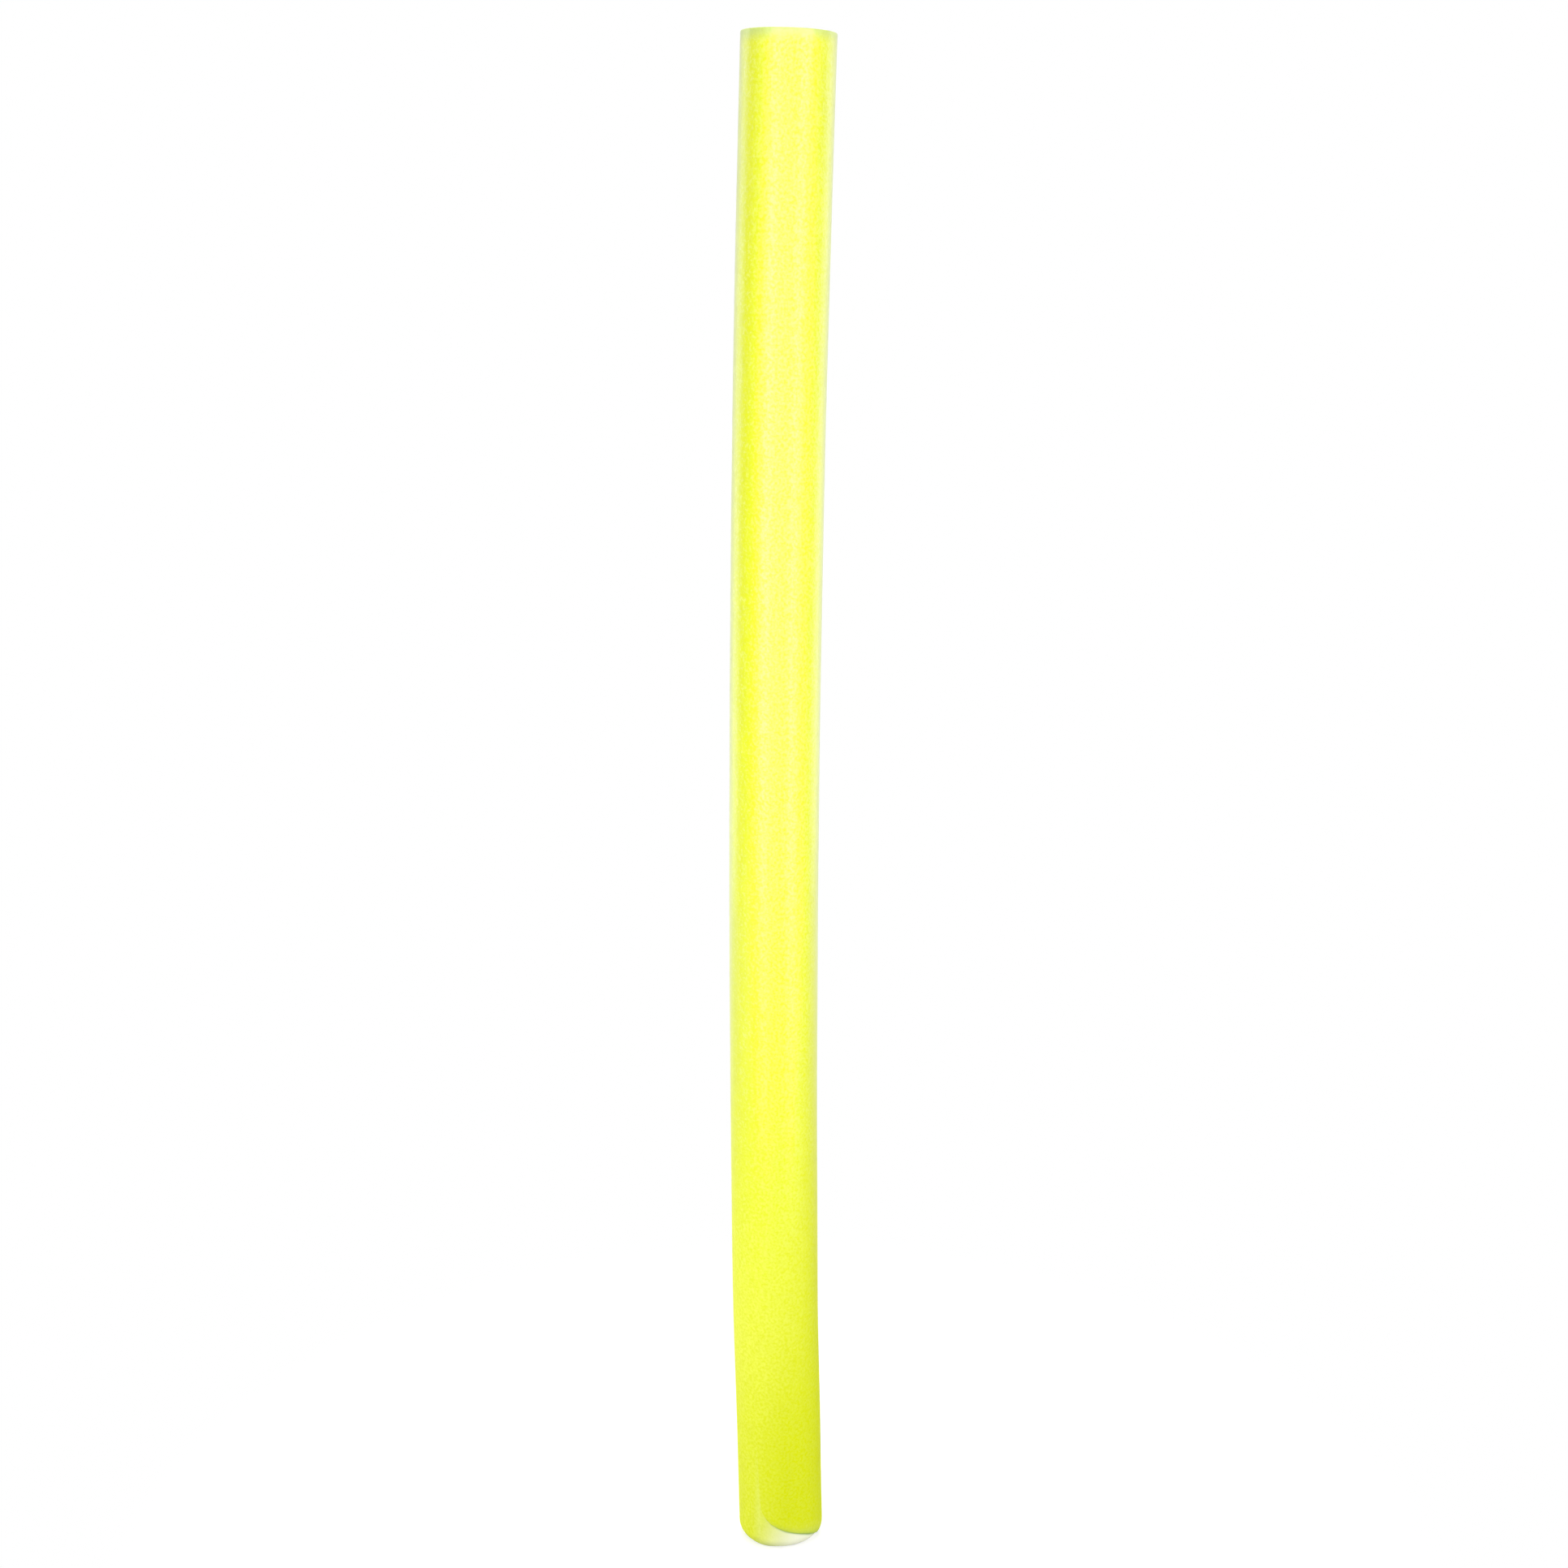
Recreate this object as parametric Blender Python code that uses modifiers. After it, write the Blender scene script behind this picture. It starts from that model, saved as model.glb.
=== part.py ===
"""A pool noodle: a bored foam core inside the thin dense skin that the same extrusion leaves on it.

Metres, +Z up. The noodle stands on its rounded end, -Y is the side that the photograph shows, and +X is
to its right. Both pieces are turned straight, cut, and then bowed together as the real foam has bowed.
"""
import math

import bmesh
import bpy

# The foam itself
LENGTH = 1.172
DIAMETER = 0.068
BORE = 0.020
SKIN = 0.0012
CLEARANCE = 0.0003

# Its two ends: the foot is worn round, and the top is cut clean
FOOT_ROUNDING = 0.011
TOP_ROUNDING = 0.0008

# The set it has taken: how far its middle bows to -X, and how far its top leans to +X
BOW = 0.0075
LEAN = 0.0073

# How high up the foot the skin is pared away, and the edge that the blade left there, seen from -Y:
# across as shares of the radius, and up as shares of the paring's height
PARING_HEIGHT = 0.031
PARING_EDGE_SHARES = (
    (-0.36, 1.00),
    (-0.30, 0.91),
    (-0.20, 0.81),
    (-0.02, 0.70),
    (0.26, 0.57),
    (0.61, 0.44),
    (0.80, 0.29),
    (0.90, 0.18),
    (1.02, 0.00),
)

# How far a cutter runs past what it cuts, and how close points must be to be welded
OVERRUN = 0.004
WELD = 0.00002

# How finely round forms are divided
SIDES = 48
WALL_STEPS = 12
FOOT_STEPS = 6
TOP_STEPS = 3

# Places that follow from the sizes
RADIUS = DIAMETER / 2
BORE_RADIUS = BORE / 2
SKIN_INNER_RADIUS = RADIUS - SKIN
CORE_RADIUS = SKIN_INNER_RADIUS - CLEARANCE
FOOT_FLAT_RADIUS = RADIUS - FOOT_ROUNDING
WALL_TOP = LENGTH - TOP_ROUNDING

SKIN_COLOUR = (0.86, 0.93, 0.05, 1.0)
CORE_COLOUR = (0.88, 0.91, 0.55, 1.0)


def clear_scene():
    for item in list(bpy.data.objects):
        bpy.data.objects.remove(item, do_unlink=True)


def new_collection(name):
    collection = bpy.data.collections.new(name)
    bpy.context.scene.collection.children.link(collection)
    return collection


def foam_material(name, colour, roughness):
    material = bpy.data.materials.new(name)
    material.use_nodes = True
    shader = material.node_tree.nodes["Principled BSDF"]
    shader.inputs["Base Color"].default_value = colour
    shader.inputs["Roughness"].default_value = roughness
    shader.inputs["Metallic"].default_value = 0.0
    return material


def foot_arc(depth):
    """Points round the foot, from the wall down to the flat, at a depth below the foam's outside."""
    reach = FOOT_ROUNDING - depth
    points = []
    for step in range(FOOT_STEPS + 1):
        turn = math.pi / 2 * step / FOOT_STEPS
        across = FOOT_FLAT_RADIUS + reach * math.cos(turn)
        up = FOOT_ROUNDING - reach * math.sin(turn)
        points.append((across, up))
    return points


def top_arc():
    """Points round the skin's top corner, from the end face down to the wall."""
    points = []
    for step in range(TOP_STEPS + 1):
        turn = math.pi / 2 * step / TOP_STEPS
        across = RADIUS - TOP_ROUNDING + TOP_ROUNDING * math.sin(turn)
        up = WALL_TOP + TOP_ROUNDING * math.cos(turn)
        points.append((across, up))
    return points


def wall_heights():
    """Heights between the top corner and the foot's rounding, top first, where the walls can bend."""
    heights = []
    for step in range(1, WALL_STEPS):
        heights.append(WALL_TOP + (FOOT_ROUNDING - WALL_TOP) * step / WALL_STEPS)
    return heights


def turned(name, profile, collection):
    """A closed profile of (radius, height) points, outer side first and downwards, turned about Z."""
    mesh = bpy.data.meshes.new(name)
    bm = bmesh.new()
    corners = [bm.verts.new((across, 0, up)) for across, up in profile]
    for corner, following in zip(corners, corners[1:] + corners[:1]):
        bm.edges.new((corner, following))
    bm.to_mesh(mesh)
    bm.free()
    item = bpy.data.objects.new(name, mesh)
    collection.objects.link(item)
    screw = item.modifiers.new("turn", "SCREW")
    screw.axis = "Z"
    screw.angle = 2 * math.pi
    screw.screw_offset = 0
    screw.steps = SIDES
    screw.render_steps = SIDES
    screw.use_merge_vertices = True
    screw.merge_threshold = WELD
    screw.use_smooth_shade = False
    return item


def skin_profile():
    wall = [(RADIUS, height) for height in wall_heights()]
    inner_wall = [(SKIN_INNER_RADIUS, height) for height in reversed(wall_heights())]
    inner_foot = list(reversed(foot_arc(SKIN)))
    lower = foot_arc(0) + inner_foot
    return top_arc() + wall + lower + inner_wall + [(SKIN_INNER_RADIUS, LENGTH)]


def core_profile():
    wall = [(CORE_RADIUS, height) for height in wall_heights()]
    foot = foot_arc(SKIN + CLEARANCE)
    neck_radius = FOOT_FLAT_RADIUS - CLEARANCE
    neck = [(neck_radius, SKIN + CLEARANCE), (neck_radius, 0)]
    bore = [(BORE_RADIUS, 0), (BORE_RADIUS, FOOT_ROUNDING)]
    bore += [(BORE_RADIUS, height) for height in reversed(wall_heights())]
    return [(CORE_RADIUS, LENGTH)] + wall + foot + neck + bore + [(BORE_RADIUS, LENGTH)]


def paring_ring(collection):
    """What the blade would take if it ran right round: all that lies outside the middle of the gap."""
    depth = SKIN + CLEARANCE / 2
    top = max(PARING_HEIGHT, FOOT_ROUNDING) + OVERRUN
    outer_radius = RADIUS + OVERRUN
    neck_radius = FOOT_FLAT_RADIUS - CLEARANCE / 2
    profile = [(outer_radius, top), (outer_radius, -OVERRUN), (neck_radius, -OVERRUN), (neck_radius, depth)]
    profile += list(reversed(foot_arc(depth))) + [(RADIUS - depth, top)]
    return turned("paring_ring", profile, collection)


def paring_outline(collection):
    """The pared place as the photograph shows it, a flat outline with a thickness along Y."""
    edge = [(across * RADIUS, up * PARING_HEIGHT) for across, up in PARING_EDGE_SHARES]
    last_across = edge[-1][0]
    first_across = edge[0][0]
    outline = edge + [(last_across, -2 * OVERRUN), (first_across, -2 * OVERRUN)]
    depth = RADIUS + 2 * OVERRUN
    curve = bpy.data.curves.new("paring_outline", "CURVE")
    curve.dimensions = "2D"
    curve.fill_mode = "BOTH"
    curve.extrude = depth / 2
    spline = curve.splines.new("POLY")
    spline.points.add(len(outline) - 1)
    for point, (across, up) in zip(spline.points, outline):
        point.co = (across, up, 0, 1)
    spline.use_cyclic_u = True
    flat = bpy.data.objects.new("paring_outline_curve", curve)
    flat.rotation_euler = (math.pi / 2, 0, 0)
    flat.location = (0, -depth / 2, 0)
    collection.objects.link(flat)
    bpy.context.view_layer.update()
    mesh = bpy.data.meshes.new_from_object(flat.evaluated_get(bpy.context.evaluated_depsgraph_get()))
    bm = bmesh.new()
    bm.from_mesh(mesh)
    bmesh.ops.remove_doubles(bm, verts=bm.verts, dist=WELD)
    bmesh.ops.recalc_face_normals(bm, faces=bm.faces)
    bm.to_mesh(mesh)
    bm.free()
    solid = bpy.data.objects.new("paring_outline", mesh)
    collection.objects.link(solid)
    solid.matrix_world = flat.matrix_world
    bpy.data.objects.remove(flat, do_unlink=True)
    return solid


def add_boolean(item, other, operation):
    cut = item.modifiers.new(other.name, "BOOLEAN")
    cut.operation = operation
    cut.solver = "EXACT"
    cut.object = other


def hide_cutter(item):
    item.hide_render = True
    item.display_type = "WIRE"


def bow(vertices):
    """Gives straight foam its set: sections slide along X, and tilt more the higher they stand."""
    for vertex in vertices:
        share = vertex.co.z / LENGTH
        middle = LEAN * share - 4 * BOW * share * (1 - share)
        slope = (LEAN - 4 * BOW * (1 - 2 * share)) / LENGTH
        vertex.co.z -= vertex.co.x * slope * share
        vertex.co.x += middle


def bowed_piece(name, straight, material, collection):
    """Turns a straight piece and its modifiers into a finished mesh with the foam's set."""
    bpy.context.view_layer.update()
    mesh = bpy.data.meshes.new_from_object(straight.evaluated_get(bpy.context.evaluated_depsgraph_get()))
    mesh.name = name
    bm = bmesh.new()
    bm.from_mesh(mesh)
    bow(bm.verts)
    bm.to_mesh(mesh)
    bm.free()
    mesh.materials.clear()
    mesh.materials.append(material)
    mesh.shade_smooth()
    mesh.set_sharp_from_angle(angle=math.radians(35))
    piece = bpy.data.objects.new(name, mesh)
    collection.objects.link(piece)
    bpy.data.objects.remove(straight, do_unlink=True)
    return piece


def centre_over_foot(pieces):
    """Slides all pieces along X together, so that the origin is under the middle of their box."""
    places = [vertex.co.x for piece in pieces for vertex in piece.data.vertices]
    middle = (min(places) + max(places)) / 2
    for piece in pieces:
        for vertex in piece.data.vertices:
            vertex.co.x -= middle


def main():
    clear_scene()
    noodle = new_collection("pool_noodle")
    cutters = new_collection("cutters")

    ring = paring_ring(cutters)
    outline = paring_outline(cutters)
    add_boolean(ring, outline, "INTERSECT")
    hide_cutter(ring)
    hide_cutter(outline)

    straight_skin = turned("straight_skin", skin_profile(), noodle)
    add_boolean(straight_skin, ring, "DIFFERENCE")
    straight_core = turned("straight_core", core_profile(), noodle)

    skin = bowed_piece("outer_skin", straight_skin, foam_material("skin_foam", SKIN_COLOUR, 0.62), noodle)
    core = bowed_piece("foam_core", straight_core, foam_material("core_foam", CORE_COLOUR, 0.85), noodle)
    centre_over_foot([skin, core])


main()
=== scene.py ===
# %% [markdown]
# # A pool noodle, dressed for its portrait
#
# The plain model of the noodle is already packed: a bored core of foam inside a thin skin. Here both get
# the surface of the real thing. All lengths are in metres. +Z runs up the noodle, -Y is the side that the
# camera sees, and +X is to its right. The first cell loads the plain model.

# %% The imported part
import functools
import math

import bmesh
import bpy
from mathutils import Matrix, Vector, noise


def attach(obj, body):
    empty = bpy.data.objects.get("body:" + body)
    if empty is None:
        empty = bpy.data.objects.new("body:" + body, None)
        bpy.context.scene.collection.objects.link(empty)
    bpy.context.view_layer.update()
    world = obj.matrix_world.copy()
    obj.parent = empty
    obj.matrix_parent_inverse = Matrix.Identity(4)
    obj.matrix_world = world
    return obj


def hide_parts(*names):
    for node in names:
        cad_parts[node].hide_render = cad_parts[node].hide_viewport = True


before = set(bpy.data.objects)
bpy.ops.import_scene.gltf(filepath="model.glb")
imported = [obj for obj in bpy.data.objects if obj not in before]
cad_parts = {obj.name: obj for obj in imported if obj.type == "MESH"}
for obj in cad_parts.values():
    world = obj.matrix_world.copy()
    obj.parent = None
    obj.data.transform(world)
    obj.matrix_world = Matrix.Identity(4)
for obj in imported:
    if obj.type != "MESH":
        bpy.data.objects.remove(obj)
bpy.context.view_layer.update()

# %% [markdown]
# ## The sizes
#
# A noodle is one length of foam from an extruder. The tool that shapes it leaves a round bar with a bore,
# and the foam that touches the cold tool sets into a dense skin. The foot of this one is worn round, and
# its top is cut clean. The numbers are those of the plain model.

# %% Sizes of the foam
LENGTH = 1.172
RADIUS = 0.034
BORE_RADIUS = 0.010
SKIN = 0.0012
FOOT_ROUNDING = 0.011
TOP_ROUNDING = 0.0008
FOOT_FLAT_RADIUS = RADIUS - FOOT_ROUNDING
SKIN_INNER_RADIUS = RADIUS - SKIN
FOOT_ARC = FOOT_ROUNDING * math.pi / 2

print("length over diameter:", round(LENGTH / (2 * RADIUS), 2))

# %% [markdown]
# ## The set of the foam
#
# A noodle that has leaned in a bin takes a set and is never quite straight. It is easier to shape every
# piece straight and to bow all of them afterwards with the same rule, so that they still fit each other.
# The middle bows to the left and the top leans to the right, by the amounts of the plain model. On top of
# that, the lowest hand's width stands about a millimetre further right, as the photograph shows.

# %% Bowing
BOW = 0.0075
LEAN = 0.0073
FOOT_X = -0.001478
FOOT_KICK = 0.0012
KICK_FADE = (0.08, 0.21)


def smooth_step(low, high, value):
    """0 up to low, 1 from high on, and a smooth rise between them."""
    share = min(1.0, max(0.0, (value - low) / (high - low)))
    return share * share * (3 - 2 * share)


def bow(vertices):
    """Slides the sections along X, and tilts them more the higher they stand."""
    for vertex in vertices:
        share = vertex.co.z / LENGTH
        middle = LEAN * share - 4 * BOW * share * (1 - share)
        kick = FOOT_KICK * (1 - smooth_step(*KICK_FADE, vertex.co.z))
        slope = (LEAN - 4 * BOW * (1 - 2 * share)) / LENGTH
        vertex.co.z -= vertex.co.x * slope * share
        vertex.co.x += middle + kick + FOOT_X


print("top leans to x =", round(LEAN + FOOT_X, 5))

# %% [markdown]
# ## A half outline, drawn with one travelling point
#
# Both pieces are round, so each starts as half of its outline. One vertex travels round it: an extrude
# carries it along a straight run, and a spin of a few degrees carries it round an arc. It leaves edges
# behind, and they are the outline.

# %% Drawing an outline
def start_outline(across, up):
    bm = bmesh.new()
    return bm, bm.verts.new((across, 0, up))


def run_to(bm, vertex, across, up, parts=1):
    """Carries the vertex along a straight run, in equal parts."""
    start = vertex.co.copy()
    end = Vector((across, 0, up))
    for part in range(1, parts + 1):
        vertex = bmesh.ops.extrude_vert_indiv(bm, verts=[vertex])["verts"][0]
        vertex.co = start.lerp(end, part / parts)
    return vertex


def arc_to(bm, vertex, centre_across, centre_up, degrees, parts):
    """Carries the vertex round a centre, turning from +X towards +Z where degrees is positive."""
    swept = bmesh.ops.spin(
        bm,
        geom=[vertex],
        cent=(centre_across, 0, centre_up),
        axis=(0, -1, 0),
        angle=math.radians(degrees),
        steps=parts,
        use_merge=False,
        use_duplicate=False,
    )
    return [item for item in swept["geom_last"] if isinstance(item, bmesh.types.BMVert)][0]


# %% [markdown]
# ## Turning the outline
#
# The edges of the outline are then spun one full turn about Z, as on a lathe. The spin merges its last
# ring into its first, and points that meet are welded, so the surface closes without a seam.

# %% One full turn
COLUMNS = 240
WELD = 0.000002


def turn_fully(bm):
    bmesh.ops.remove_doubles(bm, verts=bm.verts, dist=WELD)
    bmesh.ops.spin(
        bm,
        geom=bm.verts[:] + bm.edges[:],
        cent=(0, 0, 0),
        axis=(0, 0, 1),
        angle=math.tau,
        steps=COLUMNS,
        use_merge=True,
        use_duplicate=False,
    )
    bmesh.ops.remove_doubles(bm, verts=bm.verts, dist=WELD)
    bmesh.ops.recalc_face_normals(bm, faces=bm.faces)


print("one column of faces is", round(math.tau * RADIUS / COLUMNS * 1000, 2), "mm wide")

# %% [markdown]
# ## A map of the foam
#
# The next shapes are easier to say on the foam than in the room: how far up the outline a point lies,
# counted from the foot's flat, how deep it lies under the outside, and how far round it is from the side
# that faces the camera. These two functions go from the room to that map and back.

# %% From the room to the map and back
def to_map(place):
    """(way up the outline, depth under the outside, angle in degrees from -Y, growing towards +X)."""
    angle = math.degrees(math.atan2(place.x, -place.y))
    across = math.hypot(place.x, place.y)
    if place.z >= FOOT_ROUNDING:
        return FOOT_ARC + place.z - FOOT_ROUNDING, RADIUS - across, angle
    outward = across - FOOT_FLAT_RADIUS
    downward = FOOT_ROUNDING - place.z
    if outward <= 0:
        return outward, FOOT_ROUNDING - downward, angle
    way = FOOT_ROUNDING * math.atan2(outward, downward)
    return way, FOOT_ROUNDING - math.hypot(outward, downward), angle


def from_map(way, depth, angle):
    if way >= FOOT_ARC:
        across = RADIUS - depth
        up = way - FOOT_ARC + FOOT_ROUNDING
    elif way > 0:
        reach = FOOT_ROUNDING - depth
        across = FOOT_FLAT_RADIUS + reach * math.sin(way / FOOT_ROUNDING)
        up = FOOT_ROUNDING - reach * math.cos(way / FOOT_ROUNDING)
    else:
        across = FOOT_FLAT_RADIUS + way
        up = depth
    turn = math.radians(angle)
    return Vector((across * math.sin(turn), -across * math.cos(turn), up))


print("way from the foot's flat to the straight wall:", round(FOOT_ARC, 5))

# %% [markdown]
# ## The pared place at the foot
#
# At the lower right a blade has pared the skin away, and the cut ends in a crisp curved edge. A boolean
# would leave ragged little faces at such a shallow cut. Instead, one ring of the mesh is bent to lie along
# the edge, and the surface below that ring sinks. The table gives the edge as angle and height. Behind the
# noodle the ring only has to find its way back. The corners between its rows are blurred.

# %% The blade's edge
EDGE_ANGLES_AND_HEIGHTS = (
    (-60, 0.088),
    (-30, 0.094),
    (-27.8, 0.090),
    (-27.4, 0.070),
    (-26.8, 0.052),
    (-25.8, 0.0420),
    (-24, 0.0353),
    (-17.5, 0.0291),
    (-10.5, 0.0252),
    (0, 0.0216),
    (9, 0.0192),
    (23, 0.0163),
    (38.5, 0.0133),
    (50, 0.0105),
    (60.5, 0.0079),
    (69.5, 0.0057),
    (85, 0.0026),
    (100, 0.0010),
    (130, 0.0040),
    (180, 0.0200),
    (240, 0.0600),
    (300, 0.0880),
)
EDGE_BLUR = 1.2
BLUR_STEPS = (-1, -0.5, 0, 0.5, 1)


def way_at_height(up):
    if up >= FOOT_ROUNDING:
        return FOOT_ARC + up - FOOT_ROUNDING
    return FOOT_ROUNDING * math.acos((FOOT_ROUNDING - up) / FOOT_ROUNDING)


def edge_height_once(angle):
    """The table's height at any angle, before its corners are blurred."""
    first = EDGE_ANGLES_AND_HEIGHTS[0][0]
    angle = (angle - first) % 360 + first
    for (a0, h0), (a1, h1) in zip(EDGE_ANGLES_AND_HEIGHTS, EDGE_ANGLES_AND_HEIGHTS[1:]):
        if a0 <= angle <= a1:
            return h0 + (h1 - h0) * (angle - a0) / (a1 - a0)
    raise ValueError(f"no part of the edge at {angle}")


@functools.cache
def edge_way(angle):
    """How far up the outline the blade's edge lies at an angle."""
    near = [edge_height_once(angle + step * EDGE_BLUR) for step in BLUR_STEPS]
    return way_at_height(sum(near) / len(near))


print("edge at the front:", round(edge_way(0) * 1000, 1), "mm up the outline")

# %% [markdown]
# ## Bending the rings to the edge
#
# Nine rings of the outline sit close together: six where the skin rolls in towards its edge, one in the
# crease under it, and two where the cut face begins. They keep together wherever the edge runs, and all
# other rings between the foot's flat and BLEND_WAY spread out to make room. On the foot's rounding, at
# the right, they lie a little wider.

# %% Bending the rings
REFERENCE_WAY = 0.026
BLEND_WAY = 0.150
EDGE_RINGS = (0.0052, 0.0036, 0.0024, 0.0014, 0.0006, 0.0, -0.0005, -0.0014, -0.0024)
EXTRA_SPREAD = 0.7
SPREAD_GROWS = (20, 60)
SPREAD_FADES = (76, 96)


def ring_spread(angle):
    """How much wider than usual the nine rings lie at an angle."""
    grown = smooth_step(*SPREAD_GROWS, angle) * (1 - smooth_step(*SPREAD_FADES, angle))
    return 1 + EXTRA_SPREAD * grown


def moved_way(way, angle):
    """Where a ring of the plain outline goes, so that the reference ring lies on the blade's edge."""
    target = edge_way(angle)
    spread = ring_spread(angle)
    above = REFERENCE_WAY + EDGE_RINGS[0]
    below = REFERENCE_WAY + EDGE_RINGS[-1]
    if way <= 0 or way >= BLEND_WAY:
        return way
    if way > above:
        share = (way - above) / (BLEND_WAY - above)
        start = target + EDGE_RINGS[0] * spread
        return start + (BLEND_WAY - start) * share
    if way < below:
        return way * (target + EDGE_RINGS[-1] * spread) / below
    return target + (way - REFERENCE_WAY) * spread


print(len(EDGE_RINGS), "rings span", round((EDGE_RINGS[0] - EDGE_RINGS[-1]) * 1000, 1), "mm at the edge")

# %% [markdown]
# ## Sinking the cut face
#
# On the real noodle the cut gets deeper from left to right, and runs out again round the right side. The
# skin's edge rolls in a little, the crease under it goes deeper than the face, and the face keeps the
# blade's depth down to the foot's flat, where it fades. Sinking rings by such a rule leaves clean faces.

# %% How deep each ring sinks
PARED_DEPTH = 0.00105
DEEPENS = (-30, 6)
RUNS_OUT = (74, 104)
EDGE_SHARE = 0.06
GROOVE_SHARE = 1.35
FOOT_FADE = 0.009


def pared_depth(angle):
    """How deep the blade went at an angle: nothing on the left, and running out again on the right."""
    return PARED_DEPTH * smooth_step(*DEEPENS, angle) * (1 - smooth_step(*RUNS_OUT, angle))


def sink_at(way, angle):
    """How far the blade sinks the surface at a ring of the plain outline."""
    depth = pared_depth(angle)
    top, edge, crease, face = [REFERENCE_WAY + ring for ring in EDGE_RINGS[4:8]]
    if way >= top:
        return 0.0
    if way >= edge:
        return EDGE_SHARE * depth * (top - way) / (top - edge)
    if way >= crease:
        return depth * (EDGE_SHARE + (GROOVE_SHARE - EDGE_SHARE) * (edge - way) / (edge - crease))
    if way >= face:
        return depth * (GROOVE_SHARE + (1 - GROOVE_SHARE) * (crease - way) / (crease - face))
    if way >= 0:
        return depth
    return depth * (1 - smooth_step(0, FOOT_FADE, -way))


for degrees in (-24, 0, 38.5):
    print(f"at {degrees} degrees the blade went {pared_depth(degrees) * 1000:.2f} mm deep")

# %% [markdown]
# ## Marks for the materials
#
# Where the skin thins out, paler foam comes through, and the crease and a narrow band above it get painted
# shade. A material can't know where the blade went, so each vertex keeps two values for it. The first,
# bared, is 0 on whole skin and 1 where only core is left. It grows from left to right, starts as a faint
# lip under the edge, and lets a little pale foam through the thinned skin above. The second is the painted
# shade of the crease.

# %% How bared and how shaded a point is
NEARLY = 0.0001
MARKS_END = (96, 108)
CUT_ANGLES = (-34, 34)
CUT_SLANT = 14
LIP_PALENESS = 0.045
LIP_ANGLES = (-48, -27)
LIP_WAYS = (0.030, 0.085)
THIN_PALENESS = 0.05
THIN_ANGLES = (-6, 24)
THIN_REACH = 0.012
# Painted shade ring by ring, from a band above the skin's edge down into the crease.
CREASE_SHADES = (0.0, 0.09, 0.15, 0.28, 0.50, 0.85, 1.0, 0.25, 0.0)
CREASE_ANGLES = (-24, 14)


def bared_at(way, angle):
    run_out = 1 - smooth_step(*MARKS_END, angle)
    if way >= REFERENCE_WAY - NEARLY:
        thin = THIN_PALENESS * (1 - smooth_step(0, THIN_REACH, way - REFERENCE_WAY))
        return thin * smooth_step(*THIN_ANGLES, angle) * run_out
    share = max(0.0, way / REFERENCE_WAY)
    low_down = 1 - smooth_step(*LIP_WAYS, edge_way(angle))
    lip = LIP_PALENESS * share ** 2 * smooth_step(*LIP_ANGLES, angle) * low_down
    cut = smooth_step(*CUT_ANGLES, angle + CUT_SLANT * (1 - share))
    return max(cut, lip) * run_out


def crease_at(way, depth, angle):
    """Only the rings at the edge carry the painted shade, and only on the outside."""
    run_out = 1 - smooth_step(*MARKS_END, angle)
    for ring, shade in zip(EDGE_RINGS, CREASE_SHADES):
        if abs(way - REFERENCE_WAY - ring) < NEARLY and abs(depth) < NEARLY:
            return shade * smooth_step(*CREASE_ANGLES, angle) * run_out
    return 0.0


print("half bared at", round(sum(CUT_ANGLES) / 2), "degrees, right under the edge")

# %% [markdown]
# ## Paring the foot
#
# Now every point is looked up on the map, moved there, and carried back into the room. The columns are
# also drawn together round the front, where the edge needs them. The paring as a whole is turned by two
# degrees, because the foot stands a little further right than the table was made for.

# %% The blade's work
COLUMN_FOCUS = 12
COLUMN_GATHER = 0.5
PARING_TURN = 2.0


def gathered(angle):
    turn = math.radians(angle - COLUMN_FOCUS)
    return angle - math.degrees(COLUMN_GATHER * math.sin(turn))


def pare_foot(bm):
    bared = bm.verts.layers.float.new("bared")
    crease = bm.verts.layers.float.new("crease")
    for vertex in bm.verts:
        way, depth, angle = to_map(vertex.co)
        column = gathered(angle)
        angle = round(column + PARING_TURN, 3)
        vertex[bared] = bared_at(way, angle)
        vertex[crease] = crease_at(way, depth, angle)
        vertex.co = from_map(moved_way(way, angle), depth + sink_at(way, angle), column)


print("columns lie closest at", COLUMN_FOCUS, "degrees")

# %% [markdown]
# ## Unevenness
#
# Extruded foam is never a perfect cylinder. It swells a little, and small flats and hollows stay where it
# was pressed. A noise with two sizes moves each point in or out by a fraction of a millimetre, which is
# just enough to make the long highlights waver. The foot's flat stays flat.

# %% Soft unevenness
SWELL = 0.00022
SWELL_SIZE = 0.060
SWELL_STRETCH = 0.6
DIMPLE = 0.00007
DIMPLE_SIZE = 0.011
CALM_FOOT = 0.02


def uneven(bm):
    for vertex in bm.verts:
        outward = Vector((vertex.co.x, vertex.co.y, 0)).normalized()
        stretched = Vector((vertex.co.x, vertex.co.y, vertex.co.z * SWELL_STRETCH))
        wide = noise.noise(stretched / SWELL_SIZE)
        small = noise.noise(vertex.co / DIMPLE_SIZE)
        amount = SWELL * wide + DIMPLE * small
        vertex.co += outward * amount * smooth_step(0.0, CALM_FOOT, vertex.co.z)


print("at most", round((SWELL + DIMPLE) * 1000, 2), "mm in or out")

# %% [markdown]
# ## The skin
#
# The skin is a closed shell, 1.2 mm thick, that wraps round the foot's rim and ends in a lip there. At the
# top it was cut with the foam, so its edge is a flat ring with softened corners. Its outline starts at the
# lip, goes round the foot and up the outside, over the top, and back down the inside.

# %% The skin's outline
TOP_BAND = 0.010
OUTLINE_BASE = FOOT_ROUNDING - FOOT_ARC


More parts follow.
